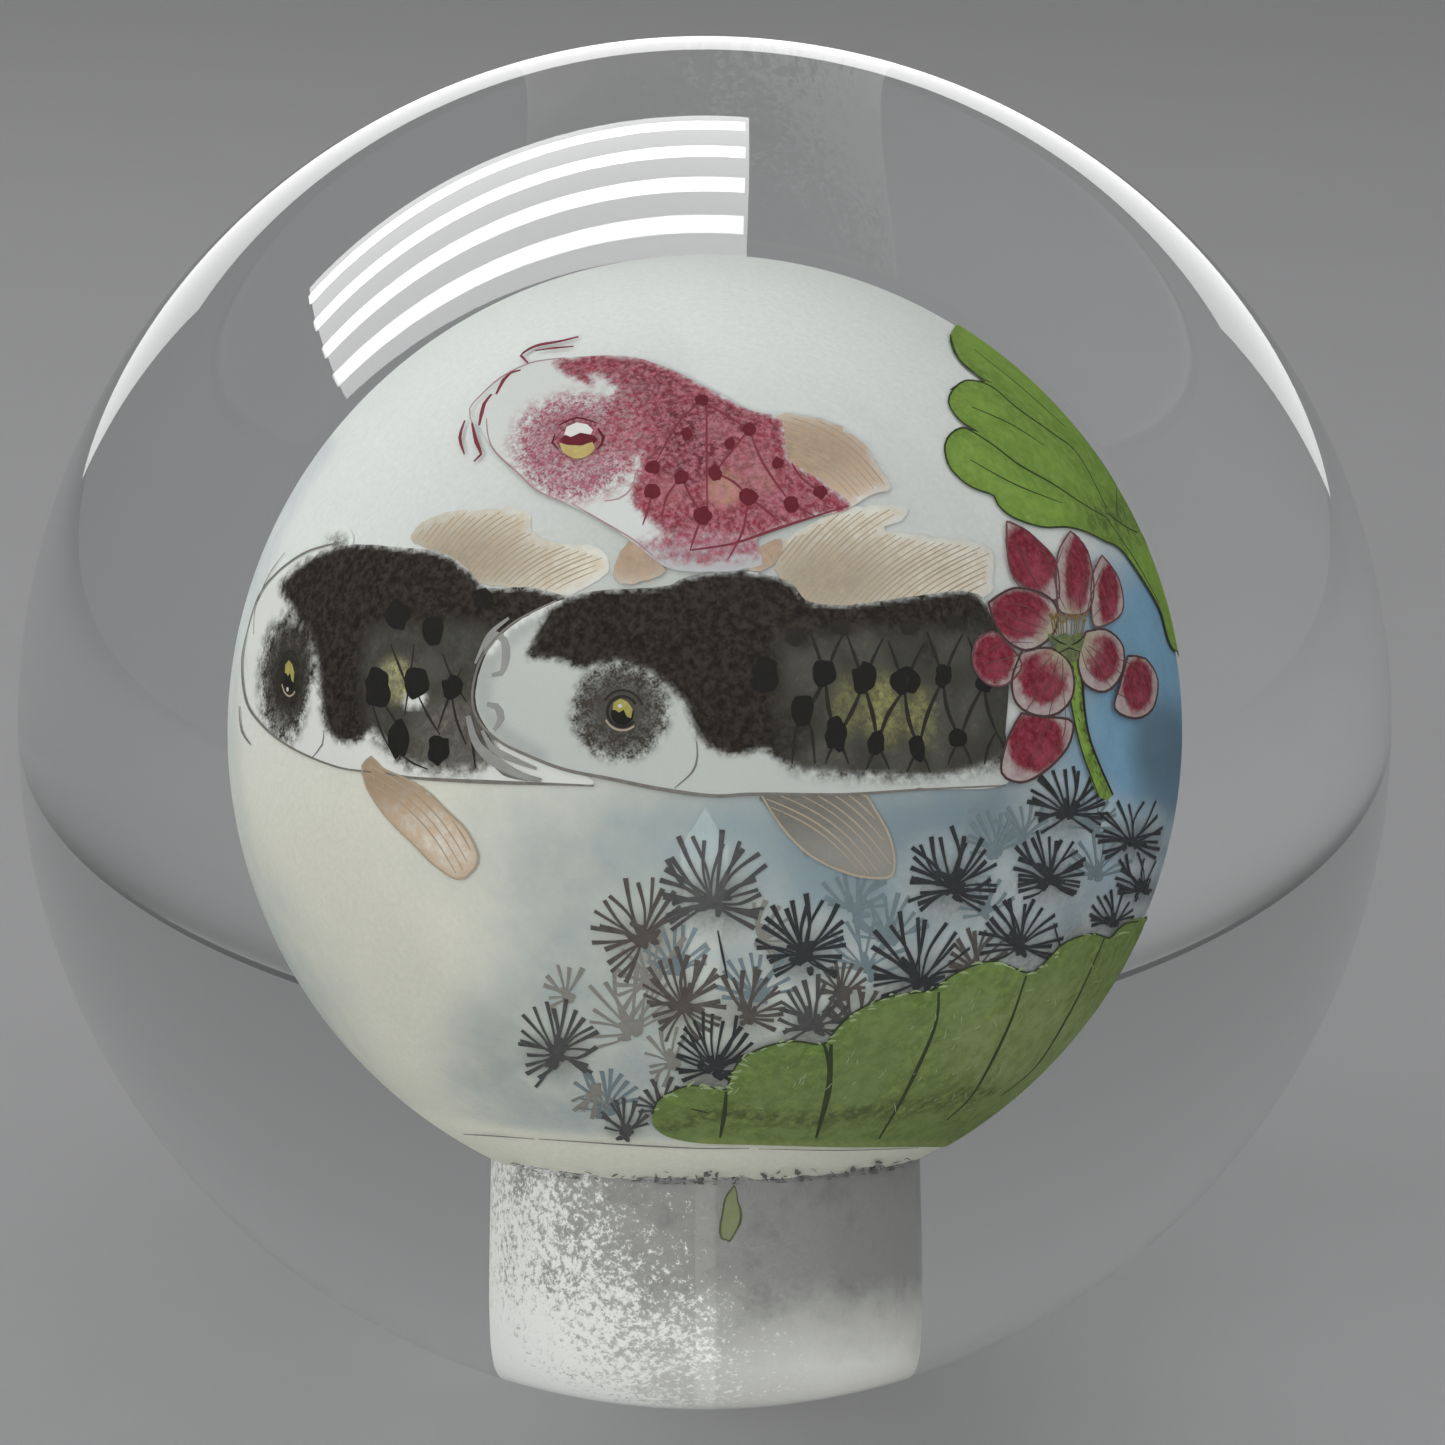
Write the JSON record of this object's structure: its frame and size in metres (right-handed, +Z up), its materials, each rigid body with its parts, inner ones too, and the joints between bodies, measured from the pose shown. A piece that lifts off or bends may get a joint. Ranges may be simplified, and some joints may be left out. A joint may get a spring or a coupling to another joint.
{
  "type": "inside-painted crystal ball",
  "caption": "Clear glass ball with a round cavity painted from inside through a bore in its flat foot: koi, lotus and water weed on a pale ground.",
  "frame": {"origin": "centre of the flat foot ring, on the surface that the ball stands on", "axes": "+Z up along the bore's and cavity's axis; the picture's front faces -Y; +X is to the right as the front is seen"},
  "size_m": [0.08, 0.08, 0.0786],
  "materials": {
    "crystal_glass": "polished outside, ground bore wall and foot ring",
    "ground_white_paint": "matt white paint with a pale blue wash",
    "koi_black_paint": "matt black and grey ink, stippled",
    "koi_red_paint": "matt crimson paint, stippled",
    "lotus_crimson_paint": "matt crimson paint fading to white",
    "leaf_green_paint": "matt green paint with dark veins",
    "stem_green_paint": "matt dark green paint",
    "weed_grey_paint": "matt grey-black ink strokes over a blue wash"
  },
  "bodies": {
    "root": {"glass_ball": "crystal_glass", "ground_coat": "ground_white_paint", "front_black_koi": "koi_black_paint", "left_black_koi": "koi_black_paint", "red_koi": "koi_red_paint", "lotus_flower": "lotus_crimson_paint", "lotus_stem": "stem_green_paint", "upper_lotus_leaf": "leaf_green_paint", "lower_lotus_leaf": "leaf_green_paint", "water_weed_bed": "weed_grey_paint", "rear_lotus_leaf": "leaf_green_paint", "rear_lotus_bud": "lotus_crimson_paint", "rear_water_weed_bed": "weed_grey_paint"}
  },
  "joints": []
}
